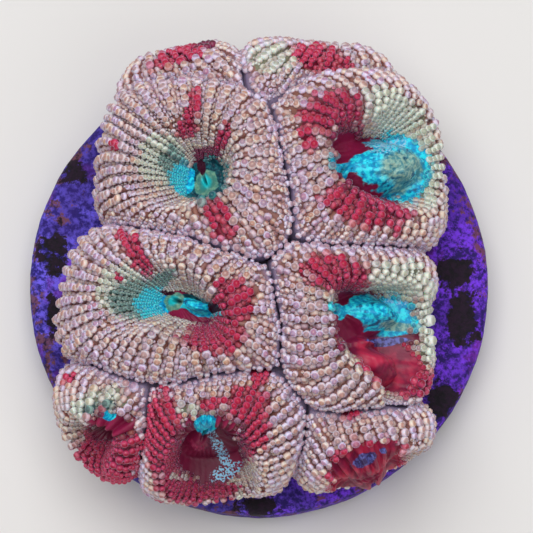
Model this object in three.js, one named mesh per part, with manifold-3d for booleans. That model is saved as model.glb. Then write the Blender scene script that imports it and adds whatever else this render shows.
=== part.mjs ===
// A fleshy brain coral on a round ceramic stand disc. Nine puffy, ring-shaped polyps
// share one stony base, so the colony is a single solid, and the disc is a loose one.
// Millimetres, +Z up. The origin is the centre of the disc's flat underside.
import * as THREE from "three";
import { mergeVertices } from "three/addons/utils/BufferGeometryUtils.js";
import Module from "manifold-3d";

// Driving dimensions of the disc
const discDiameter = 32;
const discThickness = 4;
const discEdgeRadius = 1.1;
const discEdgeSteps = 4;
const discSides = 80;

// Driving dimensions of the colony's dome, which the polyps swell out of
const domeCentreX = -0.4;
const domeCentreY = 0.4;
const girthRadii = [ // seen from above, at even steps of azimuth round from +X
  11.2, 12, 13.4, 15.2, 16.3, 15.3, 15.1, 15.2, 15.6, 12.9, 10.7, 10.4,
  11.2, 12.3, 13.9, 15.8, 15.9, 14.9, 13.9, 14.2, 15.9, 15.4, 13.2, 11.6,
];
const beltHeight = 8; // the level of the colony's widest girth
const riseAboveBelt = 8;
const fallBelowBelt = 6;

// Driving dimensions of one polyp, measured from the dome's surface
const crestRise = 1.5;
const seamDepth = 1.6;
const pitDepth = 2;
const innerRoll = 3.4; // width of the slope from the pit's lip up to the crest
const outerRoll = 1.8; // width of the round shoulder from the crest down to the seam
const seamHalfGap = 0.15;
const cornerRadius = 0.7;
const coreDepth = 1.45; // the stony core fills the bottom of the seams
const seamLowest = 134; // polar angle past which an outline is no seam but the cut base

// How finely the surface is divided
const outlineSamples = 240;
const spokes = 30;
const coreSides = 36;
const coreBands = 14;

// Places on the dome are [azimuth, polar] in degrees: azimuth turns from +X towards +Y,
// and polar is 0 at the crown, 90 at the belt and 180 straight below.
const crown = [336, 5];
const crownEast = [23, 13];
const northFork = [84, 44];
const northCleft = [92, 50];
const southFork = [283, 34];
const southCleft = [290, 45];
const westFork = [231, 42];

// The seams between neighbours, each from its first fork towards its second or the base
const seams = {
  crownRidge: [[5, 9]],
  north: [[51, 15], [69, 23], [78, 33]],
  west: [[187, 3], [169, 12], [163, 25], [164, 39], [164, 57], [164, 84], [165, 141]],
  northWest: [[97, 53], [105, 57], [113, 60], [120, 65], [125, 79], [131, 95], [133, 141]],
  southMiddle: [[300, 10], [292, 20], [286, 28]],
  southWest: [[271, 33], [256, 32], [242, 36]],
  westWall: [[222, 48], [213, 62], [207, 88], [206, 141]],
  southWestWall: [[235, 49], [239, 61], [241, 83], [241, 141]],
  southShort: [[287, 39]],
  southWall: [[287, 57], [283, 72], [281, 92], [279, 141]],
  southEastWall: [[298, 47], [306, 50], [314, 61], [322, 89], [322, 141]],
  eastWall: [[15, 18], [8, 27], [7, 38], [6, 53], [7, 89], [7, 141]],
  northEastWall: [[80, 48], [74, 58], [64, 63], [53, 85], [49, 95], [48, 141]],
  northWall: [[93, 60], [93, 83], [93, 141]],
};
const back = (seam) => [...seams[seam]].reverse();

// Each polyp's outline runs anticlockwise. The floor of its pit reaches from the mouth a
// given distance towards the dome map's east, north, west and south.
const polyps = [
  {
    mouth: [124, 30],
    pit: [1.7, 1.5, 1.7, 1.4],
    outline: [northFork, northCleft, ...seams.northWest, ...back("west"), crown,
      ...seams.crownRidge, crownEast, ...seams.north],
  },
  {
    mouth: [208, 29],
    pit: [2.3, 1.1, 4.4, 1.4],
    outline: [crown, ...seams.west, ...back("westWall"), westFork, ...back("southWest"),
      southFork, ...back("southMiddle")],
  },
  {
    mouth: [255, 58],
    pit: [2.1, 1.2, 1.9, 3.6],
    outline: [westFork, ...seams.southWestWall, ...back("southWall"), southCleft,
      ...back("southShort"), southFork, ...seams.southWest],
  },
  {
    mouth: [226, 74],
    pit: [1, 1, 1, 1],
    outline: [westFork, ...seams.westWall, ...back("southWestWall")],
  },
  {
    mouth: [112, 94],
    pit: [1.6, 1.4, 1.6, 1.4],
    outline: [northCleft, ...seams.northWall, ...back("northWest")],
  },
  {
    mouth: [71, 96],
    pit: [1.6, 1.4, 1.6, 1.4],
    outline: [northFork, ...seams.northEastWall, ...back("northWall"), northCleft],
  },
  {
    mouth: [46, 41],
    pit: [6, 2.7, 1.4, 1.8],
    outline: [northFork, ...back("north"), crownEast, ...seams.eastWall,
      ...back("northEastWall")],
  },
  {
    mouth: [330, 38],
    pit: [5.2, 1.2, 1, 2.2],
    outline: [crownEast, ...back("crownRidge"), crown, ...seams.southMiddle, southFork,
      ...seams.southShort, southCleft, ...seams.southEastWall, ...back("eastWall")],
  },
  {
    mouth: [303, 96],
    pit: [2, 1.6, 2, 1.6],
    outline: [southCleft, ...seams.southWall, ...back("southEastWall")],
  },
];

const radians = THREE.MathUtils.degToRad;
const domeCentre = new THREE.Vector3(domeCentreX, domeCentreY, beltHeight);

// The dome map is flat: distance from its origin is the polar angle, direction the azimuth.
function toMap([azimuth, polar]) {
  return new THREE.Vector2(polar, 0).rotateAround(new THREE.Vector2(), radians(azimuth));
}

// A smooth closed curve through the girth radii
function girthRadius(azimuth) {
  const count = girthRadii.length;
  const step = (2 * Math.PI) / count;
  const turn = THREE.MathUtils.euclideanModulo(azimuth, 2 * Math.PI) / step;
  const start = Math.floor(turn);
  const t = turn - start;
  const [a, b, c, d] = [-1, 0, 1, 2].map((i) => girthRadii[(start + i + count) % count]);
  return b + 0.5 * t * (c - a + t * (2 * a - 5 * b + 4 * c - d + t * (3 * (b - c) + d - a)));
}

function domePoint(place) {
  const azimuth = Math.atan2(place.y, place.x);
  const polar = radians(place.length());
  const radius = girthRadius(azimuth) * Math.sin(polar);
  const height = Math.cos(polar) * (Math.cos(polar) > 0 ? riseAboveBelt : fallBelowBelt);
  return new THREE.Vector3(radius * Math.cos(azimuth), radius * Math.sin(azimuth), height)
    .add(domeCentre);
}

function domeNormal(place) {
  const step = 0.05;
  const slope = (x, y) => domePoint(new THREE.Vector2(place.x + x, place.y + y))
    .sub(domePoint(new THREE.Vector2(place.x - x, place.y - y)));
  return slope(step, 0).cross(slope(0, step)).normalize();
}

function raised(place, height) {
  return domePoint(place).addScaledVector(domeNormal(place), height);
}

// Evenly spaced places round a closed outline, with its corners rounded off
function roundedOutline(outline) {
  const corners = outline.map(toMap);
  const lengths = corners.map((corner, i) =>
    domePoint(corner).distanceTo(domePoint(corners[(i + 1) % corners.length])));
  const total = lengths.reduce((sum, length) => sum + length, 0);
  let places = [];
  let side = 0;
  let passed = 0;
  for (let i = 0; i < outlineSamples; i += 1) {
    const reach = (total * i) / outlineSamples;
    while (reach > passed + lengths[side]) {
      passed += lengths[side];
      side += 1;
    }
    const share = (reach - passed) / lengths[side];
    places.push(corners[side].clone().lerp(corners[(side + 1) % corners.length], share));
  }
  const passes = Math.round(2 * (cornerRadius / (total / outlineSamples)) ** 2);
  for (let pass = 0; pass < passes; pass += 1) {
    places = places.map((place, i) => {
      const before = places[(i + outlineSamples - 1) % outlineSamples];
      const after = places[(i + 1) % outlineSamples];
      return place.clone().multiplyScalar(2).add(before).add(after).divideScalar(4);
    });
  }
  return places;
}

// How far the pit's floor reaches in one direction, from its four stated reaches
function pitReach([east, north, west, south], direction) {
  const mean = (east + north + west + south) / 4;
  const twist = (east + west - north - south) / 4;
  return mean + ((east - west) / 2) * Math.cos(direction)
    + ((north - south) / 2) * Math.sin(direction) + twist * Math.cos(2 * direction);
}

// Height over the dome: a puffy ring that falls to the pit inside and to the seam outside
function polypHeight(pastLip, fromSeam) {
  const slope = THREE.MathUtils.clamp(pastLip / innerRoll, 0, 1);
  const shoulder = 1 - THREE.MathUtils.clamp(fromSeam / outerRoll, 0, 1);
  const toPit = (crestRise + pitDepth) * (1 - Math.sin((slope * Math.PI) / 2));
  const toSeam = (crestRise + seamDepth) * (1 - Math.sqrt(1 - shoulder ** 2));
  return crestRise - Math.hypot(toPit, toSeam);
}

// Distances from the mouth of one spoke's rings, over the floor and the wall to the seam
function ringDistances(reach, lip) {
  const wall = reach - lip;
  const inner = Math.min(innerRoll, 0.42 * wall);
  const outer = Math.min(outerRoll, 0.42 * wall);
  const inside = [0.15, 0.45, 1].map((share) => lip + inner * share);
  const outside = [1, 0.45, 0.12, 0].map((share) => reach - seamHalfGap - outer * share);
  return [lip * 0.6, lip, ...inside, (inside[2] + outside[0]) / 2, ...outside];
}

// One polyp's puffy top, closed down to the middle of the dome
function polypGeometry({ mouth, pit, outline }) {
  const rim = roundedOutline(outline);
  const seam = rim.filter((place) => place.length() < seamLowest).map(domePoint);
  const middle = toMap(mouth);
  const rings = [];
  for (let spoke = 0; spoke < spokes; spoke += 1) {
    const end = rim[(spoke * outlineSamples) / spokes];
    const reach = spokeLength(middle, end);
    const lip = pitReach(pit, Math.atan2(end.y - middle.y, end.x - middle.x));
    rings.push(ringDistances(reach, lip).map((distance) => {
      const place = middle.clone().lerp(end, distance / reach);
      const point = domePoint(place);
      const fromSeam = Math.min(...seam.map((other) => other.distanceTo(point)));
      return raised(place, polypHeight(distance - lip, fromSeam - seamHalfGap));
    }));
  }
  const ringCount = rings[0].length;
  const points = [raised(middle, -pitDepth), domeCentre.clone(), ...rings.flat()];
  const at = (spoke, ring) => 2 + (spoke % spokes) * ringCount + ring;
  const faces = [];
  for (let spoke = 0; spoke < spokes; spoke += 1) {
    faces.push(0, at(spoke, 0), at(spoke + 1, 0));
    for (let ring = 0; ring + 1 < ringCount; ring += 1) {
      faces.push(at(spoke, ring), at(spoke, ring + 1), at(spoke + 1, ring + 1));
      faces.push(at(spoke, ring), at(spoke + 1, ring + 1), at(spoke + 1, ring));
    }
    faces.push(1, at(spoke + 1, ringCount - 1), at(spoke, ringCount - 1));
  }
  return meshed(points, faces);
}

function spokeLength(middle, end) {
  const steps = 16;
  let length = 0;
  for (let i = 0; i < steps; i += 1) {
    const from = middle.clone().lerp(end, i / steps);
    const to = middle.clone().lerp(end, (i + 1) / steps);
    length += domePoint(from).distanceTo(domePoint(to));
  }
  return length;
}

// The stony core, which shows only as the floor of the seams
function coreGeometry() {
  const points = [raised(new THREE.Vector2(0.01, 0), -coreDepth)];
  const faces = [];
  for (let band = 1; band < coreBands; band += 1) {
    for (let side = 0; side < coreSides; side += 1) {
      const polar = (180 * band) / coreBands;
      points.push(raised(toMap([(360 * side) / coreSides, polar]), -coreDepth));
    }
  }
  points.push(new THREE.Vector3(0, 0, coreDepth - fallBelowBelt).add(domeCentre));
  const bottom = points.length - 1;
  const at = (band, side) => 1 + (band - 1) * coreSides + (side % coreSides);
  for (let side = 0; side < coreSides; side += 1) {
    faces.push(0, at(1, side), at(1, side + 1));
    for (let band = 1; band < coreBands - 1; band += 1) {
      faces.push(at(band, side), at(band + 1, side), at(band + 1, side + 1));
      faces.push(at(band, side), at(band + 1, side + 1), at(band, side + 1));
    }
    faces.push(at(coreBands - 1, side), bottom, at(coreBands - 1, side + 1));
  }
  return meshed(points, faces);
}

function meshed(points, faces) {
  const geometry = new THREE.BufferGeometry().setFromPoints(points);
  geometry.setIndex(faces);
  return geometry;
}

const wasm = await Module();
wasm.setup();

function toSolid(geometry) {
  geometry.deleteAttribute("normal");
  geometry.deleteAttribute("uv");
  const merged = mergeVertices(geometry, 1e-5);
  const vertProperties = Float32Array.from(merged.attributes.position.array);
  const triVerts = Uint32Array.from(merged.index.array);
  return new wasm.Manifold(new wasm.Mesh({ numProp: 3, vertProperties, triVerts }));
}

function toGeometry(solid) {
  const { vertProperties, triVerts } = solid.getMesh();
  const geometry = new THREE.BufferGeometry();
  geometry.setAttribute("position", new THREE.BufferAttribute(vertProperties, 3));
  geometry.setIndex(new THREE.BufferAttribute(triVerts, 1));
  geometry.computeVertexNormals();
  return geometry;
}

// The whole colony, cut off flat where it meets the disc
function colonyGeometry() {
  const size = 60;
  const above = new THREE.BoxGeometry(size, size, size);
  above.translate(0, 0, discThickness + size / 2);
  const solid = polyps.reduce(
    (joined, polyp) => joined.add(toSolid(polypGeometry(polyp))),
    toSolid(coreGeometry()),
  );
  return toGeometry(solid.intersect(toSolid(above)));
}

// The disc, turned, with both of its edges rounded
function discGeometry() {
  const radius = discDiameter / 2;
  const profile = [new THREE.Vector2(0, 0)];
  for (const [level, start] of [[discEdgeRadius, -90], [discThickness - discEdgeRadius, 0]]) {
    for (let step = 0; step <= discEdgeSteps; step += 1) {
      const turn = radians(start + (90 * step) / discEdgeSteps);
      profile.push(new THREE.Vector2(
        radius - discEdgeRadius + discEdgeRadius * Math.cos(turn),
        level + discEdgeRadius * Math.sin(turn),
      ));
    }
  }
  profile.push(new THREE.Vector2(0, discThickness));
  return new THREE.LatheGeometry(profile, discSides).rotateX(Math.PI / 2);
}

const tissue = new THREE.MeshStandardMaterial({ color: 0xb09aa0, roughness: 0.4, metalness: 0 });
const crust = new THREE.MeshStandardMaterial({ color: 0x5b3fb0, roughness: 0.75, metalness: 0 });

const disc = new THREE.Mesh(discGeometry(), crust);
disc.name = "frag_disc";
const colony = new THREE.Mesh(colonyGeometry(), tissue);
colony.name = "coral_colony";

const group = new THREE.Group();
group.add(disc, colony);
export default group;
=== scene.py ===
import math

import bpy
import numpy as np
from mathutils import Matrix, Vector, noise


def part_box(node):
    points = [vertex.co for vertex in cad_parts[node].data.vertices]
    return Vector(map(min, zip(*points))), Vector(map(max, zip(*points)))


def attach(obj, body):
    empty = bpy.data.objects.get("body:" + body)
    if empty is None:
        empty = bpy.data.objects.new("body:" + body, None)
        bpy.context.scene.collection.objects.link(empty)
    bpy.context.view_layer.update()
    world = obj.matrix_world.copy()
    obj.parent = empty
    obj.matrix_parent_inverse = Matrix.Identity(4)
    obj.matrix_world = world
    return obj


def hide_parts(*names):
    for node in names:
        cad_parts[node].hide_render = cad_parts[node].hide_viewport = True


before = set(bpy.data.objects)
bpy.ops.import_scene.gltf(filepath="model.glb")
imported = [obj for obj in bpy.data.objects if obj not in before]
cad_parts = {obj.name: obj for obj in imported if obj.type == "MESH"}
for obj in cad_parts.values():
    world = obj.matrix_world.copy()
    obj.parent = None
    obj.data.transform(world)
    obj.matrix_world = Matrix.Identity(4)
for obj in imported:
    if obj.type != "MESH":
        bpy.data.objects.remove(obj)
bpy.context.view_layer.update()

mm = 0.001
discLow, discHigh = (np.array(corner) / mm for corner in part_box("frag_disc"))
random = np.random.default_rng(14)


class Value:  # an output socket that does maths
    def __init__(self, graph, socket):
        self.graph = graph
        self.socket = socket

    def maths(self, operation, first, second):
        return self.graph.node("ShaderNodeMath", {"operation": operation}, {0: first, 1: second})

    def __add__(self, other):
        return self.maths("ADD", self, other)

    def __sub__(self, other):
        return self.maths("SUBTRACT", self, other)

    def __rsub__(self, other):
        return self.maths("SUBTRACT", other, self)

    def __mul__(self, other):
        return self.maths("MULTIPLY", self, other)

    __radd__ = __add__
    __rmul__ = __mul__


class Graph:  # builds the nodes of a material or of a geometry tree
    def __init__(self, tree):
        self.tree = tree

    def node(self, kind, settings=None, inputs=None, output=0):
        made = self.tree.nodes.new(kind)
        for name, value in (settings or {}).items():
            if name == "stops":
                self.setStops(made.color_ramp, value)
            else:
                setattr(made, name, value)
        for name, value in (inputs or {}).items():
            if isinstance(value, Value):
                self.tree.links.new(value.socket, made.inputs[name])
            else:
                made.inputs[name].default_value = value
        return Value(self, made.outputs[output]) if made.outputs else made

    def setStops(self, ramp, stops):
        while len(ramp.elements) < len(stops):
            ramp.elements.new(0.5)
        for element, (position, colour) in zip(ramp.elements, stops):
            element.position = position
            element.color = colour

    def attribute(self, name):
        return self.node("ShaderNodeAttribute", {"attribute_name": name}, output="Fac")

    def mix(self, share, first, second):
        settings = {"data_type": "RGBA"}
        return self.node("ShaderNodeMix", settings, {0: share, 6: first, 7: second}, output=2)

    def smooth(self, value, low, high):
        settings = {"interpolation_type": "SMOOTHSTEP"}
        return self.node("ShaderNodeMapRange", settings, {0: value, 1: low, 2: high, 3: 0.0, 4: 1.0})

    def noise(self, where, scale, detail, roughness=0.5):
        inputs = {"Vector": where, "Scale": scale, "Detail": detail, "Roughness": roughness}
        return self.node("ShaderNodeTexNoise", inputs=inputs)

    def surface(self, inputs):
        shader = self.node("ShaderNodeBsdfPrincipled", inputs=inputs)
        self.node("ShaderNodeOutputMaterial", inputs={"Surface": shader})


def emptyMaterial(name):  # with a graph to build its nodes in, and places on the object to read
    material = bpy.data.materials.new(name)
    material.use_nodes = True
    material.node_tree.nodes.clear()
    graph = Graph(material.node_tree)
    return material, graph, graph.node("ShaderNodeTexCoord", output="Object")


def paint(red, green, blue):  # a display colour from 0 to 255 as a shader colour
    def linear(part):
        part /= 255
        return part / 12.92 if part <= 0.04045 else ((part + 0.055) / 1.055) ** 2.4
    return (linear(red), linear(green), linear(blue), 1.0)


def ramp(values, low, high):  # 0 below low, 1 above high, smooth between
    share = np.clip((values - low) / (high - low), 0, 1)
    return share * share * (3 - 2 * share)


def wobble(points, scale):  # smooth noise from -1 to 1 at each point
    return np.array([noise.noise(Vector(point * scale)) for point in points])


def newObject(name, data):
    made = bpy.data.objects.new(name, data)
    bpy.context.scene.collection.objects.link(made)
    return made


def makeMesh(name, points, faces, material, attributes):
    mesh = bpy.data.meshes.new(name)
    mesh.from_pydata(np.asarray(points) * mm, [], faces)
    for key, values in attributes.items():
        kind, field = ("FLOAT_VECTOR", "vector") if values.ndim == 2 else ("FLOAT", "value")
        flat = values.astype(np.float32).ravel()
        mesh.attributes.new(key, kind, "POINT").data.foreach_set(field, flat)
    if faces:
        mesh.shade_smooth()
        mesh.materials.append(material)
    return newObject(name, mesh)


def closedFan(spokes, rings):  # faces of rings of points, closed by a pole inside and a pole outside
    spoke, ring = (part.ravel() for part in np.meshgrid(np.arange(spokes), np.arange(rings - 1)))
    here = spoke * rings + ring
    ahead = (spoke + 1) % spokes * rings + ring
    faces = np.stack([here, here + 1, ahead + 1, ahead], -1).tolist()
    inner = [spoke * rings for spoke in range(spokes)]
    outer = [start + rings - 1 for start in inner]
    pole = spokes * rings
    faces += [(pole, a, b) for a, b in zip(inner, inner[1:] + inner[:1])]
    faces += [(pole + 1, b, a) for a, b in zip(outer, outer[1:] + outer[:1])]
    return faces


# The dome that the polyps swell out of.
dome = {
    "centre": (-0.4, 0.4),
    "girth": [  # radii seen from above, at even steps of azimuth round from +X
        11.2, 12, 13.4, 15.2, 16.3, 15.3, 15.1, 15.2, 15.6, 12.9, 10.7, 10.4,
        11.2, 12.3, 13.9, 15.8, 15.9, 14.9, 13.9, 14.2, 15.9, 15.3, 12.4, 10.9],
    "belt": discHigh[2] + 4,  # height at which the dome is widest
    "rise": 8,  # of the dome above the belt, if it were whole
    "fall": 6,  # of the dome below it
}
wallFoot = 141  # polar angle at which the outer walls have reached the disc


def toMap(places):  # [azimuth, polar] in degrees on a flat map, polar angle outwards
    places = np.asarray(places, float)
    turn = np.radians(places[..., 0])
    return places[..., 1:2] * np.stack([np.cos(turn), np.sin(turn)], -1)


def girthRadius(azimuth):  # a smooth closed curve through the girth's radii
    radii = np.array(dome["girth"])
    count = len(radii)
    turn = azimuth / (2 * math.pi) * count % count
    start = np.floor(turn).astype(int)
    t = turn - start
    a, b, c, d = (radii[(start + i) % count] for i in (-1, 0, 1, 2))
    return b + t / 2 * (c - a + t * (2 * a - 5 * b + 4 * c - d + t * (3 * (b - c) + d - a)))


def domePoint(places):
    azimuth = np.arctan2(places[..., 1], places[..., 0])
    polar = np.radians(np.hypot(places[..., 0], places[..., 1]))
    radius = girthRadius(azimuth) * np.sin(polar)
    height = np.cos(polar) * np.where(polar < math.pi / 2, dome["rise"], dome["fall"])
    x, y = dome["centre"]
    return np.stack([x + radius * np.cos(azimuth), y + radius * np.sin(azimuth), dome["belt"] + height], -1)


def unit(vectors):
    return vectors / np.maximum(np.linalg.norm(vectors, axis=-1, keepdims=True), 1e-9)


def domeNormal(places):
    step = 0.05
    east = domePoint(places + [step, 0]) - domePoint(places - [step, 0])
    north = domePoint(places + [0, step]) - domePoint(places - [0, step])
    return unit(np.cross(east, north))


# Where the polyps meet, as [azimuth, polar] places.
crown = [336, 5]
crownEast = [23, 13]
northFork = [84, 44]
northCleft = [92, 50]
southFork = [283, 34]
southCleft = [290, 45]
westFork = [231, 42]
seams = {
    "crownRidge": [[5, 9]],
    "north": [[51, 15], [69, 23], [78, 33]],
    "west": [[187, 3], [169, 12], [163, 25], [164, 39], [164, 57], [164, 84], [165, wallFoot]],
    "northWest": [[97, 53], [105, 57], [113, 60], [120, 65], [125, 79], [131, 95], [133, wallFoot]],
    "southMiddle": [[300, 10], [292, 20], [286, 28]],
    "southWest": [[271, 33], [256, 32], [242, 36]],
    "westWall": [[222, 48], [213, 62], [207, 88], [206, wallFoot]],
    "southWestWall": [[235, 49], [239, 61], [241, 83], [241, wallFoot]],
    "southShort": [[287, 39]],
    "southWall": [[287, 57], [283, 72], [281, 92], [279, wallFoot]],
    "southEastWall": [[298, 47], [306, 50], [314, 61], [322, 89], [322, wallFoot]],
    "eastWall": [[15, 18], [8, 27], [7, 38], [6, 53], [7, 89], [7, wallFoot]],
    "northEastWall": [[80, 48], [74, 58], [64, 63], [53, 85], [49, 95], [48, wallFoot]],
    "northWall": [[93, 60], [93, 83], [93, wallFoot]],
}


def back(seam):  # the seam the other way round
    return seams[seam][::-1]


# What the settings of a polyp are.
# outline: seams all round the polyp, anticlockwise
# pit: places round the lip of the hollow that the mouth lies in, also anticlockwise
# mouth and slit: the place of the mouth and the direction of its slit
# slope: width of the bank from the lip up to the crest, towards east, north, west and south
# tints: patches of colour in the skin, [x, y, half length, half width, turn]; the darkest ones are painted
# shade deep in the pit
# lobes: swellings of the oral disc, [x, y, half length, half width, turn, height]
# bare: the tints that carry no beads
# bubbles: single big beads, [x, y, z, radius]
# crest, depth, fan and rowSpacing stand in for the ones in flesh

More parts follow.
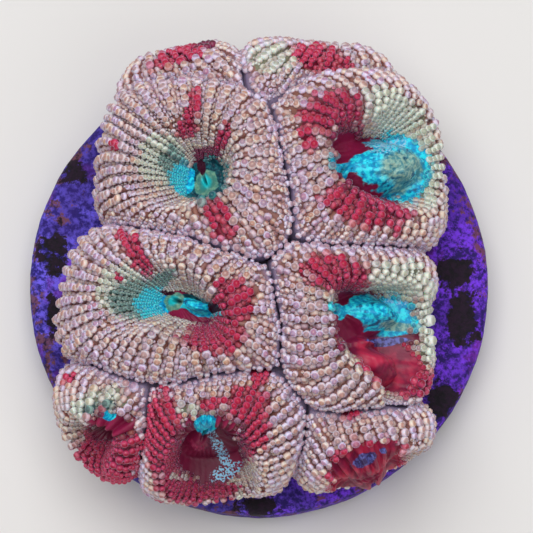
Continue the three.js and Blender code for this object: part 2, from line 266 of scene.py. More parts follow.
polyps = {
    "westUpper": {
        "outline": [northFork, northCleft, *seams["northWest"], *back("west"), crown,
                    *seams["crownRidge"], crownEast, *seams["north"]],
        "pit": [[108, 24], [108, 29], [115, 32], [125, 35], [135, 39], [138, 34], [131, 23], [115, 20]],
        "mouth": [122.5, 26], "slit": 100, "slope": [1.6, 2.2, 3.0, 1.2],
        "tints": {
            "red": [[-4.4, 10.4, 0.5, 1.4, -10], [-4.8, 9.1, 0.7, 0.6, 0], [-2.5, 8.2, 1.1, 0.4, 65],
                    [-2.5, 2.6, 1.6, 0.75, 120], [-9.6, 8.4, 0.4, 0.3, 0]],
            "maroon": [[-3.4, 7.5, 1.0, 0.5, -10]],
            "green": [[-6.5, 7.0, 1.5, 1.8, 30]],
            "murky": [[-5.6, 6.6, 0.9, 1.5, 20]],
            "teal": [[-3.4, 5.6, 1.5, 1.8, 0]],
            "cyan": [[-5.1, 6.0, 0.9, 1.1, 0]],
            "mint": [[-3.5, 5.7, 0.8, 1.0, 0]],
            "dark": [[-3.8, 6.8, 0.8, 0.3, 98]],
        },
        "bare": ["teal", "mint", "dark"],
    },
    "westMiddle": {
        "outline": [crown, *seams["west"], *back("westWall"), westFork, *back("southWest"),
                    southFork, *back("southMiddle")],
        "pit": [[235, 16], [210, 20], [197, 30], [195, 36], [201, 38], [211, 32], [222, 24], [236, 20]],
        "mouth": [206, 27.5], "slit": 160, "slope": [1.8, 1.8, 3.4, 1.7],
        "tints": {
            "red": [[-8.2, 0.9, 1.9, 0.6, 124], [-1.8, -2.9, 1.4, 1.8, 0], [-3.0, -5.0, 2.2, 1.2, 8],
                    [-9.3, -0.8, 0.4, 0.2, -40]],
            "maroon": [[-4.2, -3.4, 1.3, 0.4, -25]],
            "green": [[-9.0, -1.8, 1.7, 1.7, 0]],
            "murky": [[-8.2, -2.2, 1.7, 1.3, 0], [-6.6, -1.0, 1.2, 0.4, 20]],
            "teal": [[-4.0, -2.4, 1.2, 0.3, -25]],
            "cyan": [[-7.1, -2.4, 1.2, 1.0, 0], [-4.2, -2.8, 1.6, 0.45, -20]],
            "mint": [[-5.6, -2.3, 0.7, 0.6, 0]],
            "dark": [[-2.8, -3.0, 0.6, 0.35, -30], [-6.1, -1.7, 0.6, 0.2, -10]],
        },
        "lobes": [[-4.4, -2.8, 1.7, 0.7, -20, 0.8]], "bare": ["maroon", "mint", "dark", "teal"],
    },
    "southMiddle": {
        "outline": [westFork, *seams["southWestWall"], *back("southWall"), southCleft,
                    *back("southShort"), southFork, *seams["southWest"]],
        "pit": [[267, 70], [262, 57], [256, 52], [250, 56], [249, 68], [253, 84], [261, 88], [268, 84]],
        "mouth": [255, 57], "slit": 60, "slope": [1.9, 1.7, 1.3, 0.9],
        "tints": {
            "red": [[-0.7, -9.3, 1.3, 1.3, -20], [-0.2, -11.2, 0.9, 1.5, -20],
                    [-6.3, -11.2, 1.3, 2.9, 0], [-4.2, -14.5, 3.0, 0.8, 0],
                    [0.1, -7.4, 0.8, 0.6, 60], [-2.9, -9.2, 1.2, 0.4, 10]],
            "maroon": [[-3.2, -12.0, 2.3, 2.2, 0]],
            "green": [[-4.6, -14.9, 0.7, 0.3, 50], [-1.7, -14.3, 1.0, 0.3, -50],
                      [-3.9, -9.6, 1.7, 0.4, 5]],
            "cyan": [[-3.5, -10.5, 0.7, 0.5, 20]],
            "frost": [[-2.5, -12.1, 1.7, 0.4, -60], [-2.2, -13.3, 1.2, 0.6, 20]],
        },
        "lobes": [[-3.6, -10.9, 0.6, 0.6, 0, 0.7], [-4.0, -12.4, 1.3, 1.2, 10, 0.5],
                  [-1.7, -11.4, 0.9, 1.2, 0, 0.45]],
        "bare": ["maroon", "cyan", "frost"], "depth": 1.6, "fan": 1.8,
        "rowSpacing": 0.68,
    },
    "southWest": {
        "outline": [westFork, *seams["westWall"], *back("southWestWall")],
        "pit": [[232, 67], [229, 64], [225, 72], [223, 80], [226, 84], [230, 78]],
        "mouth": [227, 66], "slit": 0, "slope": [1.1, 1.5, 1.0, 2.2],
        "tints": {
            "red": [[-10.1, -12.4, 2.5, 2.5, 0], [-12.6, -7.2, 0.6, 0.4, 60]],
            "maroon": [[-9.8, -10.6, 1.6, 0.8, 0]],
            "green": [[-10.4, -9.0, 2.0, 0.8, 10]],
            "murky": [[-10.6, -9.4, 1.3, 0.35, 10]],
            "cyan": [[-9.8, -9.9, 0.5, 0.35, 0]],
        },
        "lobes": [[-9.8, -10.0, 0.5, 0.5, 0, 0.8]], "bare": ["maroon", "cyan"],
        "depth": 1.4, "rowSpacing": 0.7,
    },
    "northLeft": {
        "outline": [northCleft, *seams["northWall"], *back("northWest")],
        "pit": [[108, 106], [112, 102], [116, 106], [112, 110]],
        "mouth": [112, 106], "slit": 20, "slope": [2.2, 2.2, 2.2, 2.2],
        "tints": {"red": [[-5.4, 14.8, 2.0, 0.8, 22]], "maroon": [[-3.6, 15.6, 0.8, 0.4, 0]]},
        "crest": 0.4, "depth": 1.2, "fan": 4,
    },
    "northRight": {
        "outline": [northFork, *seams["northEastWall"], *back("northWall"), northCleft],
        "pit": [[67, 108], [71, 104], [75, 108], [71, 112]],
        "mouth": [71, 108], "slit": 150, "slope": [2.2, 2.2, 2.2, 2.2],
        "tints": {"red": [[4.2, 14.5, 2.1, 1.1, -14], [10.4, 12.1, 0.7, 0.6, 0]],
                  "green": [[0.9, 14.4, 1.6, 1.3, 0], [7.4, 13.4, 1.2, 0.6, 0]]},
        "crest": 0.5, "depth": 1.2, "fan": 4,
    },
    "eastUpper": {
        "outline": [northFork, *back("north"), crownEast, *seams["eastWall"],
                    *back("northEastWall")],
        "pit": [[33, 80], [41, 76], [46, 62], [50, 48], [55, 40], [52, 35], [38, 35], [30, 45],
                [22, 66], [25, 77]],
        "mouth": [44, 38.5], "slit": 60, "slope": [1.0, 2.0, 1.2, 1.9],
        "tints": {
            "red": [[4.9, 10.2, 2.1, 1.5, 20], [3.3, 8.2, 1.1, 0.5, 110], [7.2, 3.7, 3.0, 1.3, -12]],
            "maroon": [[6.2, 8.0, 1.6, 1.4, 10], [7.4, 5.3, 2.4, 0.9, -15]],
            "green": [[9.5, 10.6, 2.3, 1.5, -20], [11.6, 7.3, 0.8, 3.0, 0]],
            "cyan": [[9.4, 7.2, 2.3, 2.5, 0], [7.8, 6.9, 1.7, 1.1, 0], [6.6, 6.8, 1.1, 0.4, 0],
                     [5.3, 6.5, 0.7, 0.45, -20]],
            "tan": [[9.6, 6.9, 1.6, 1.3, 20]],
            "frost": [[8.6, 8.6, 1.4, 0.8, 20]],
        },
        "lobes": [[9.8, 7.3, 3.6, 2.7, 0, 2.4]], "bare": ["maroon", "cyan", "tan"],
    },
    "eastMiddle": {
        "outline": [crownEast, *back("crownRidge"), crown, *seams["southMiddle"], southFork,
                    *seams["southShort"], southCleft, *seams["southEastWall"], *back("eastWall")],
        "pit": [[344, 76], [350, 69], [343, 45], [335, 33], [327, 30], [317, 35], [319, 47],
                [315, 59], [325, 73], [335, 77]],
        "mouth": [334, 37], "slit": 80, "slope": [0.8, 2.0, 1.5, 1.5],
        "tints": {
            "red": [[5.0, -0.7, 2.3, 1.2, -10], [10.2, -7.3, 1.6, 1.2, 0]],
            "maroon": [[6.2, -4.3, 1.4, 1.6, 20], [6.5, -1.9, 1.6, 0.5, 0], [8.7, -4.4, 2.3, 0.7, 4]],
            "crimson": [[8.7, -6.3, 2.6, 1.9, -25]],
            "green": [[9.8, -0.7, 2.2, 1.2, 0], [11.3, -3.7, 0.7, 2.4, 0]],
            "cyan": [[8.5, -2.9, 2.2, 1.4, -8], [7.3, -2.5, 1.3, 0.9, 0], [6.4, -2.8, 0.8, 0.4, 0],
                     [5.2, -3.0, 0.7, 0.5, -30]],
            "tan": [[9.2, -3.6, 1.2, 0.3, 0]],
            "frost": [[9.2, -1.6, 1.8, 0.5, -5]],
            "blue": [[8.7, -4.6, 1.5, 0.3, 5]],
        },
        "lobes": [[8.8, -2.9, 2.7, 1.5, -5, 1.9], [8.5, -4.7, 1.8, 0.4, 5, 0.5],
                  [8.8, -6.5, 2.7, 1.9, -25, 1.8]],
        "bare": ["maroon", "cyan", "crimson", "tan", "blue"],
        "bubbles": [[11.5, -3.1, 9.0, 0.46], [11.6, -4.5, 9.0, 0.44]],
    },
    "southEast": {
        "outline": [southCleft, *seams["southWall"], *back("southEastWall")],
        "pit": [[300, 76], [294, 80], [292, 90], [295, 99], [302, 101], [308, 97], [309, 88],
                [306, 79]],
        "mouth": [300, 99], "slit": 100, "slope": [1.2, 2.2, 1.6, 1.2],
        "tints": {
            "red": [[6.0, -9.8, 0.7, 0.4, 0], [5.2, -12.6, 0.6, 0.4, 0]],
            "crimson": [[7.2, -13.2, 2.8, 1.6, 20]],
            "maroon": [[7.4, -13.1, 1.8, 0.8, 20], [5.6, -13.3, 0.6, 0.4, 0]],
            "blue": [[7.0, -12.8, 0.9, 0.4, 20], [8.3, -12.2, 0.3, 0.2, 0]],
        },
        "lobes": [[7.2, -12.9, 2.6, 1.5, 20, 1.7]],
        "bare": ["crimson", "maroon", "blue"], "depth": 1.0, "fan": 4.5,
    },
}

flesh = {
    "crest": 0.95,  # height of the banks over the dome
    "depth": 2.2,  # of the pit's floor under the dome
    "fan": 1.3,  # how much closer the rows may stand on the crest than at the seam
    "steepest": 0.8,  # largest share of the way to the seam that the slope may take
    "seam": 0.15,  # how far the skin has sunk where it meets its neighbour
    "shoulder": 2.5,  # width of the gentle fall from the crest to a seam
    "crease": 1.2,  # depth of the crease between neighbours
    "creaseWidth": 0.2,  # width of the rounded edge that drops into it
    "gap": 0.03,  # half the gap between neighbours
    "corner": 0.6,  # how far the corners of an outline are rounded
    "samples": 480,  # places worked out round an outline
    "spokes": 192,
    "floorRings": 22,
    "bankRings": 18,
    "wallRings": 25,
    "rowSpacing": 0.8,  # between rows of beads, halfway from the lip to the seam
    "ridge": 0.34,  # half the height of the ridges that carry the rows
    "ridgeFromLip": (0, 1.4),  # where the ridges start and where they are full
    "ridgeFromSeam": (0.15, 0.8),
    "coneHeight": 0.7,  # of the mouth
    "coneRadius": 0.85,
    "slitSize": (0.4, 0.12),  # half length and half width
    "slitDepth": 0.8,
    "folds": 36,
    "fold": 0.035,  # height of the fine folds round the mouth
    "pleats": 22,
    "pleat": 0.22,  # height of the pleats on the lobes of the oral disc, which run out from the mouth
    "lumps": [(0.25, 1.1), (0.15, 2.6), (0.12, 5)],  # on the lobes, height and fineness
    "evening": 60,  # passes that even out the spokes where they fan round a corner of the pit
    "evenShare": 0.3,  # how far the spokes then go back to even steps
}


def fourWay(values, direction):  # a smooth value round a circle, from its value at four sides
    east, north, west, south = values
    mean = (east + north + west + south) / 4
    twist = (east + west - north - south) / 4
    return (mean + (east - west) / 2 * np.cos(direction)
            + (north - south) / 2 * np.sin(direction) + twist * np.cos(2 * direction))


def closedLengths(points):  # length from the first point to each one, all the way round
    steps = np.linalg.norm(np.roll(points, -1, 0) - points, axis=-1)
    return np.concatenate([[0], np.cumsum(steps)])


def resampled(places, lengths):  # places at even steps of a length that runs round a closed line
    closed = np.vstack([places, places[:1]])
    reach = np.linspace(0, lengths[-1], flesh["samples"], endpoint=False)
    return np.stack([np.interp(reach, lengths, closed[:, i]) for i in (0, 1)], -1)


def roundedOutline(outline):  # an outline in small even steps, with its corners smoothed
    corners = toMap(outline)
    steps = np.linspace(0, 1, 12, endpoint=False)[:, None]
    fine = np.concatenate([a + (b - a) * steps for a, b in zip(corners, np.roll(corners, -1, 0))])
    lengths = closedLengths(domePoint(fine))
    places = resampled(fine, lengths)
    passes = round(2 * (flesh["corner"] / (lengths[-1] / flesh["samples"])) ** 2)
    for _ in range(passes):
        places = (np.roll(places, 1, 0) + 2 * places + np.roll(places, -1, 0)) / 4
    return places


def pathLength(starts, ends):  # over the dome, straight across the map
    steps = np.linspace(0, 1, 25)[:, None, None]
    points = domePoint(starts + (ends - starts) * steps)
    return np.linalg.norm(np.diff(points, axis=0), axis=-1).sum(0)


def spokeStarts(pit, rim):  # for each place on the rim, the place on the lip that faces it
    gaps = np.linalg.norm(domePoint(rim)[:, None] - domePoint(pit)[None], axis=-1)
    count = len(rim)
    ahead = np.unwrap(gaps.argmin(1) / count - np.arange(count) / count, period=1)
    for _ in range(flesh["evening"]):
        ahead = (np.roll(ahead, 1) + 2 * ahead + np.roll(ahead, -1)) / 4
    ahead = ahead + (ahead.mean() - ahead) * flesh["evenShare"]
    return along({"pit": pit}, "pit", np.arange(count) / count + ahead)


def polypShape(settings):  # the spokes of one polyp, from the lip of its pit to its outline
    rim = roundedOutline(settings["outline"])
    lip = spokeStarts(roundedOutline(settings["pit"]), rim)
    middle = lip.mean(0)
    direction = np.arctan2(*(lip - middle).T[::-1])
    slope = fourWay(settings["slope"], direction)
    share = np.minimum(slope / pathLength(lip, rim), flesh["steepest"])[:, None]
    crestSteps = np.diff(closedLengths(domePoint(lip + (rim - lip) * share)))
    rimSteps = np.diff(closedLengths(domePoint(rim)))
    steps = crestSteps + np.minimum(rimSteps, crestSteps * settings.get("fan", flesh["fan"]))
    spacing = np.concatenate([[0], np.cumsum(steps)])
    lip, rim = resampled(lip, spacing), resampled(rim, spacing)
    direction = np.arctan2(*(lip - middle).T[::-1])
    return {
        "middle": middle,
        "lip": lip,
        "rim": rim,
        "seam": domePoint(rim[np.hypot(*rim.T) < wallFoot - 7]),  # without the part along the foot
        "inside": pathLength(lip, middle),
        "reach": pathLength(lip, rim),
        "slope": fourWay(settings["slope"], direction),
        "rows": round(spacing[-1] / 2 / settings.get("rowSpacing", flesh["rowSpacing"])),
        "mouth": domePoint(toMap(settings["mouth"])),
        "slit": math.radians(settings["slit"]),
        "lobes": settings.get("lobes", []),
        "crest": settings.get("crest", flesh["crest"]),
        "depth": settings.get("depth", flesh["depth"]),
    }


def along(shape, key, turn):  # a value of the spoke at each turn, from 0 to 1 round the polyp
    values = shape[key]
    place = np.asarray(turn) % 1 * len(values)
    start = np.floor(place).astype(int)
    share = place - start
    if values.ndim == 2:
        share = share[..., None]
    return values[start % len(values)] * (1 - share) + values[(start + 1) % len(values)] * share


def nearest(points, others):  # distance from each point to the nearest of the others
    batch = 4000  # keeps the table of distances small
    best = np.empty(len(points))
    for start in range(0, len(points), batch):
        gaps = points[start:start + batch, None, :] - others[None]
        best[start:start + batch] = np.sqrt((gaps ** 2).sum(-1).min(1))
    return best


def inPatch(points, patch):  # 1 in the middle of a patch, 0 at its edge and less outside
    x, y, halfLength, halfWidth, turn = patch[:5]
    turn = math.radians(turn)
    dx, dy = points[:, 0] - x, points[:, 1] - y
    run = (dx * math.cos(turn) + dy * math.sin(turn)) / halfLength
    side = (dy * math.cos(turn) - dx * math.sin(turn)) / halfWidth
    return 1 - np.hypot(run, side)


def mapPlace(shape, turn, distance):  # distance is from the lip outwards, and less than 0 in the pit
    lip, rim = along(shape, "lip", turn), along(shape, "rim", turn)
    outward = np.maximum(distance, 0) / along(shape, "reach", turn)
    inward = np.minimum(distance, 0) / along(shape, "inside", turn)
    return lip + (rim - lip) * outward[:, None] + (lip - shape["middle"]) * inward[:, None]


def mouthForm(shape, away, aside):  # shares of the cone round the mouth and of the slit in it
    cone = np.exp(-(aside / flesh["coneRadius"]) ** 2)
    cosine, sine = math.cos(shape["slit"]), math.sin(shape["slit"])
    run = away[:, 0] * cosine + away[:, 1] * sine
    side = away[:, 1] * cosine - away[:, 0] * sine
    halfLength, halfWidth = flesh["slitSize"]
    slit = np.exp(-(run / halfLength) ** 2 - (side / halfWidth) ** 2) * ramp(cone, 0.1, 0.5)
    return cone, slit


def lobeHeight(lobe, base, aside, direction, sunk):  # a lumpy, pleated swelling down in the pit
    inside = ramp(inPatch(base, lobe), 0, 0.85) * sunk
    lumps = sum(size * wobble(base, fineness) for size, fineness in flesh["lumps"])
    pleats = np.abs(np.sin(flesh["pleats"] / 2 * direction + wobble(base, 0.8)))
    return inside * (lobe[5] + (lumps + flesh["pleat"] * pleats) * ramp(aside, 0.4, 1.6))


def polypSurface(shape, turn, distance):  # points of the skin, and what lies at each of them
    turn, distance = np.ravel(turn), np.ravel(distance)
    place = mapPlace(shape, turn, distance)
    base = domePoint(place)
    fromSeam = np.maximum(nearest(base, shape["seam"]) - flesh["gap"], 0)
    slope = along(shape, "slope", turn)
    climbed = np.clip(distance / slope, 0, 1)
    shoulder = 1 - np.clip(fromSeam / flesh["shoulder"], 0, 1)
    crease = 1 - np.clip(fromSeam / flesh["creaseWidth"], 0, 1)
    sunk = 1 - np.sin(climbed * math.pi / 2)
    toPit = (shape["crest"] + shape["depth"]) * sunk
    toSeam = (shape["crest"] + flesh["seam"]) * shoulder ** 2
    height = shape["crest"] - np.hypot(toPit, toSeam) - flesh["crease"] * (1 - np.sqrt(1 - crease ** 2))

    offRow = np.abs(np.sin(math.pi * shape["rows"] * turn))
    ridged = ramp(distance, *flesh["ridgeFromLip"]) * ramp(fromSeam, *flesh["ridgeFromSeam"])
    height += flesh["ridge"] * (1 - 2 * offRow ** 3) * ridged

    away = base - shape["mouth"]
    aside = np.linalg.norm(away, axis=-1)
    cone, slit = mouthForm(shape, away, aside)
    height += flesh["coneHeight"] * cone
    height -= flesh["slitDepth"] * slit
    direction = np.arctan2(away[:, 1], away[:, 0])
    height += flesh["fold"] * np.cos(flesh["folds"] * direction) * ramp(aside, 0.4, 1.3) * sunk ** 2
    for lobe in shape["lobes"]:
        height += lobeHeight(lobe, base, aside, direction, sunk)
    points = base + domeNormal(place) * height[:, None]
    points[:, 2] = np.maximum(points[:, 2], discHigh[2])
    return points, {
        "fromSeam": fromSeam,
        "slit": slit,
        "inPit": 1 - ramp(distance, -0.2, 0.6),
        "deep": 1 - ramp(distance, 0, 2.6),
        "outer": ramp(distance - slope, 0, 0.8),
        "groove": ramp(offRow, 0.55, 1) * ridged,
    }


def skinNormal(shape, turn, distance):
    turnStep, distanceStep = 0.001, 0.06
    across = (polypSurface(shape, turn + turnStep, distance)[0]
              - polypSurface(shape, turn - turnStep, distance)[0])
    outward = (polypSurface(shape, turn, distance + distanceStep)[0]
               - polypSurface(shape, turn, distance - distanceStep)[0])
    normals = unit(np.cross(outward, across))
    outward = domeNormal(mapPlace(shape, turn, distance))
    return normals * np.where((normals * outward).sum(-1) < 0, -1, 1)[:, None]


# Colours laid over the skin and its beads.

tintNames = ("red", "maroon", "crimson", "green", "murky", "teal", "cyan", "tan", "mint", "blue",
             "frost", "dark")


def skinTints(points, facts, settings):  # how deep each point lies in each colour's patches
    ragged = 0.2 * wobble(points, 0.9) + 0.12 * wobble(points, 2.3)
    tints = {name: facts[name] for name in ("inPit", "deep", "groove", "slit")}
    for name in tintNames:
        depth = np.full(len(points), -1.0)
        for patch in settings["tints"].get(name, []):
            depth = np.maximum(depth, inPatch(points, patch))
        tints[name] = depth + ragged
    low = facts["outer"] * (1 - ramp(points[:, 2], dome["belt"], dome["belt"] + 2.5))
    for name in settings.get("bare", []):  # the bare tissue stays inside the polyp
        tints[name] -= 2 * low
    tints["lilac"] = 1 - ramp(facts["fromSeam"], 0.1, 0.7)
    return tints


def liningColours(graph, where):  # the skin between the beads, and the bare oral discs
    broad = graph.noise(where, 260.0, 3.0)
    middle = graph.noise(where, 900.0, 5.0)
    fine = graph.noise(where, 3200.0, 3.0)
    finest = graph.noise(where, 6200.0, 2.0)
    spots = graph.smooth(fine, 0.42, 0.62)
    clouds = graph.smooth(broad, 0.35, 0.65)
    ragged = (middle - 0.5) * 0.9

    def over(colour, name, strength, tint):  # the tint inside its patches, with ragged edges
        edge = graph.smooth(graph.attribute(name) + ragged, -0.06, 0.06)
        return graph.mix(edge * strength, colour, tint)

    colour = graph.mix(clouds, paint(150, 102, 88), paint(138, 96, 94))
    colour = graph.mix(graph.attribute("lilac"), colour, paint(160, 144, 174))
    # painted shade: the skin down in the grooves between the rows of beads is painted darker brown
    colour = graph.mix(graph.attribute("groove") * 0.6, colour, paint(104, 54, 48))
    colour = over(colour, "green", 0.7, paint(116, 136, 112))
    colour = over(colour, "murky", 0.8, paint(38, 84, 88))
    colour = over(colour, "red", 1, paint(122, 14, 48))
    pit = graph.mix(clouds, paint(102, 12, 50), paint(150, 28, 76))
    colour = graph.mix(graph.attribute("inPit"), colour, pit)
    colour = over(colour, "maroon", 1, pit)
    crimson = graph.mix(graph.smooth(middle, 0.35, 0.65), paint(124, 18, 60), paint(190, 40, 78))
    colour = over(colour, "crimson", 1, crimson)
    colour = over(colour, "teal", 1, graph.mix(spots, paint(10, 58, 74), paint(24, 104, 116)))
    cyan = graph.mix(spots, paint(4, 160, 212), paint(44, 236, 255))
    tan = graph.mix(spots, paint(84, 142, 144), paint(168, 188, 166))
    tanShare = graph.smooth(graph.attribute("tan") + (middle - 0.5) * 1.8, -0.2, 0.3) * 0.85
    cyan = graph.mix(tanShare, cyan, tan)
    creases = graph.smooth(middle * 0.5 + fine * 0.5, 0.44, 0.38)
    cyan = graph.mix(creases * 0.8, cyan, paint(8, 74, 110))
    colour = over(colour, "cyan", 1, cyan)
    mint = graph.mix(spots, paint(84, 150, 138), paint(132, 182, 156))
    mint = graph.mix(graph.smooth(graph.attribute("mint"), 0.3, 0.7), mint, paint(20, 206, 214))
    colour = over(colour, "mint", 1, mint)
    colour = over(colour, "blue", 1, graph.mix(spots, paint(60, 40, 96), paint(112, 116, 196)))
    frost = graph.smooth(graph.attribute("frost") * 0.6 + (finest - 0.55) * 5.0, -0.08, 0.12)
    frost = frost * graph.smooth(graph.attribute("frost"), -0.15, 0.1)
    colour = graph.mix(frost, colour, paint(150, 206, 236))
    # painted shade: near-black maroon patches where the pit lies in shade
    colour = over(colour, "dark", 1, paint(58, 10, 36))
    # painted shade: the mouth's slit is painted near black, as the shade inside it
    colour = graph.mix(graph.attribute("slit") * 0.9, colour, paint(30, 10, 36))
    return colour, fine


def liningMaterial():
    material, graph, where = emptyMaterial("wetSkin")
    colour, fine = liningColours(graph, where)
    bump = graph.node("ShaderNodeBump", inputs={"Height": fine, "Strength": 0.35, "Distance": 0.00012})
    graph.surface({
        "Base Color": colour, "Roughness": 0.5, "Normal": bump,
        "Subsurface Weight": 0.25, "Subsurface Radius": (1.0, 0.5, 0.35), "Subsurface Scale": 0.0005,
        "Coat Weight": 0.15, "Coat Roughness": 0.15, "IOR": 1.36})
    return material


beadTints = [  # tint, strength, colour of a bead's middle and the paler colour of its rim, a painted rim light
    ("green", 0.75, (176, 190, 170), (238, 246, 232)),
    ("murky", 0.85, (48, 88, 94), (120, 168, 160)),
    ("red", 1, (178, 18, 64), (212, 78, 118)),
    ("maroon", 1, (86, 14, 44), (140, 44, 86)),
    ("crimson", 1, (164, 22, 62), (208, 76, 114)),
    ("teal", 1, (20, 92, 104), (70, 150, 150)),
    ("cyan", 1, (10, 150, 184), (80, 232, 240)),
]


def beadMaterial():
    material, graph, where = emptyMaterial("glassyBeads")
    tone = graph.attribute("tone")
    top = graph.attribute("beadTop")
    deep = graph.attribute("deep")
    # painted rim light: rim is the share of a bead painted paler towards its sides; painted shade: foot is
    # the share painted browner at its bottom
    rim = graph.smooth(top, 0.8, 0.5)
    foot = graph.smooth(top, 0.2, -0.3)
    blush = [(0.0, paint(196, 150, 118)), (0.3, paint(182, 140, 134)), (0.6, paint(172, 144, 150)),
             (0.8, paint(172, 142, 176)), (1.0, paint(186, 106, 130))]
    drift = tone * 0.7 + graph.noise(where, 190.0, 3.0) * 0.6 - 0.15
    core = graph.node("ShaderNodeValToRGB", {"stops": blush}, {"Fac": drift})
    # painted highlight: the top of each bead is painted lighter
    core = graph.mix(graph.smooth(top, 0.86, 1.0) * 0.45, core, paint(232, 200, 182))
    paintedRimLight = graph.mix(tone, paint(242, 222, 208), paint(230, 218, 248))
    cream = graph.mix(rim, core, paintedRimLight)
    # greener, and darker as painted shade, near the lip and down in the pit
    cream = graph.mix(deep * 0.6, cream, graph.mix(rim, paint(150, 138, 118), paint(206, 204, 180)))
    # painted shade: the foot of each bead, where it meets the skin, is painted brown
    cream = graph.mix(foot, cream, paint(170, 112, 104))
    lilac = graph.mix(rim, paint(180, 154, 180), paint(222, 212, 240))
    colour = graph.mix(graph.attribute("lilac") * 0.6, cream, lilac)
    for name, strength, middle, edge in beadTints:
        tint = graph.mix(rim, paint(*middle), paint(*edge))
        if name == "red":  # painted shade: darker at the foot, and down in the pit
            tint = graph.mix(foot, tint, paint(122, 10, 42))
            tint = graph.mix(deep * 0.7, tint, graph.mix(rim, paint(104, 8, 46), paint(160, 44, 94)))
        patch = graph.smooth(graph.attribute(name), -0.12, 0.12)
        colour = graph.mix(patch * strength, colour, tint)
    # painted shade: beads down in the grooves between the rows are painted darker brown
    colour = graph.mix(graph.attribute("groove") * 0.6, colour, paint(150, 88, 78))
    graph.surface({
        "Base Color": colour, "Roughness": 0.42,
        "Subsurface Weight": 0.6, "Subsurface Radius": (1.0, 0.6, 0.5), "Subsurface Scale": 0.0004,
        "Sheen Weight": 0.7, "Sheen Roughness": 0.3, "Sheen Tint": paint(226, 214, 255),
        "Coat Weight": 0.3, "Coat Roughness": 0.12, "IOR": 1.36})
    return material


def polypSkin(name, shape, settings, material):  # closed down to the middle of the dome
    spokes = flesh["spokes"]
    turn = np.arange(spokes) / spokes
    inside, reach = along(shape, "inside", turn)[:, None], along(shape, "reach", turn)[:, None]
    bank = np.minimum(along(shape, "slope", turn)[:, None], reach - 1)
    floorSteps = np.linspace(0.02, 1, flesh["floorRings"], endpoint=False) - 1
    bankSteps = np.linspace(0, 1, flesh["bankRings"], endpoint=False)
    wallSteps = 1 - (1 - np.linspace(0, 1, flesh["wallRings"])) ** 1.4  # closer together at the seam
    distance = np.hstack([inside * floorSteps, bank * bankSteps, bank + (reach - bank) * wallSteps])
    rings = distance.shape[1]
    points, facts = polypSurface(shape, np.repeat(turn, rings), distance)
    middle = points[::rings].mean(0)
    root = np.array([*dome["centre"], dome["belt"]])
    points = np.vstack([points, middle, root])
    facts = {key: np.append(values, [values[0], 0]) for key, values in facts.items()}
    return makeMesh(name, points, closedFan(spokes, rings), material, skinTints(points, facts, settings))


beads = {
    "radius": 0.29,  # of the largest
    "least": 0.12,  # radius of the smallest in a row
    "fill": 0.37,  # radius of a row's beads, as a share of the distance between rows
    "rowStep": 1.5,  # from bead to bead along a row, in radii
    "crowding": 0.66,  # least distance between two beads, as a share of their radii together
    "files": [(0, 1, 0.03), (0.3, 0.58, 0.03), (0.7, 0.58, 0.03), (0.5, 0.42, 0.04)],  # offset, size, swing
    "pathSteps": 130,
    "atSeam": (0.68, 0.32),  # size at a seam, and what it gains away from it
    "spread": (0.8, 1.8),  # limits of how files between the rows grow where the rows stand apart
    "crumbs": 0.12,  # radius of the smallest beads that fill the gaps
    "crumbCount": 3000,
    "crumbGather": 0.75,  # 1 spreads them evenly, and less gathers them towards the seams
    "startChance": (0.02, 0.3),  # distance of a file's first bead from the lip
    "sizeChance": (0.84, 1.14),  # this and the next four multiply what they are named for
    "swingChance": (0.4, 1.6),
    "stepChance": (0.94, 1.1),
    "crumbChance": (0.8, 1.3),
    "stretchChance": (0.9, 1.12),
    "tintChance": (-0.15, 0.15),  # how far chance moves a bead over the edge of a patch
    "lift": 0.35,  # how far a bead's middle stands above the skin, in radii
    "height": 1.15,  # of a bead, as a share of its width
    "limit": 0.16,  # least distance from a seam
    "overDisc": 0.15,  # least height over the disc
    "bareFrom": 0.1,  # how deep in a bare patch the beads end
    "bubbleLean": (0.9, 0, 0.45),  # direction that the single big beads point in
    "fine": 0.17,  # beads smaller than this have fewer faces
    "faceCounts": [(8, 4), (6, 3)],  # segments and rings of a large bead and of a small one
}


def filePaths(shape, offset):  # lines over the skin from lip to seam, with the bead size along them
    rows, steps = shape["rows"], beads["pathSteps"]
    starts = (np.arange(rows) + offset) / rows
    reaches = along(shape, "reach", starts)[:, None]
    distances = (reaches - beads["limit"]) * np.linspace(0, 1, steps)
    turns = np.repeat(starts, steps)
    points, facts = polypSurface(shape, turns, distances)
    beside, facts = polypSurface(shape, turns + 1 / rows, distances)
    apart = np.linalg.norm(beside - points, axis=-1).reshape(rows, steps)
    sizes = np.minimum(apart * beads["fill"], beads["radius"])
    inner = ramp(facts["fromSeam"], 0.1, 1.2).reshape(rows, steps)
    small, gain = beads["atSeam"]
    sizes *= small + gain * inner
    arcs = np.linalg.norm(np.diff(points.reshape(rows, steps, 3), axis=1), axis=-1)
    arcs = np.hstack([np.zeros((rows, 1)), np.cumsum(arcs, 1)])
    spread = np.clip(apart / flesh["rowSpacing"], *beads["spread"])
    return starts, distances, arcs, sizes, spread, inner


def fileCandidates(shape, offset, between, swing):  # beads one after the other along each path
    found = []
    share = between
    for start, distances, arcs, sizes, spread, inner in zip(*filePaths(shape, offset)):
        reach = random.uniform(*beads["startChance"])
        side = 1
        while reach < arcs[-1]:
            radius = np.interp(reach, arcs, sizes) * random.uniform(*beads["sizeChance"])
            if share < 1:  # the files between rows grow where the rows spread apart, and at the seams
                share = 1 - (1 - between) * np.interp(reach, arcs, inner)
                radius *= share * np.interp(reach, arcs, spread)
            radius = max(radius, beads["least"])
            turn = start + side * swing * random.uniform(*beads["swingChance"]) / shape["rows"]
            found.append([turn, np.interp(reach, arcs, distances), radius])
            reach += radius * beads["rowStep"] * random.uniform(*beads["stepChance"])
            side = -side
    return found


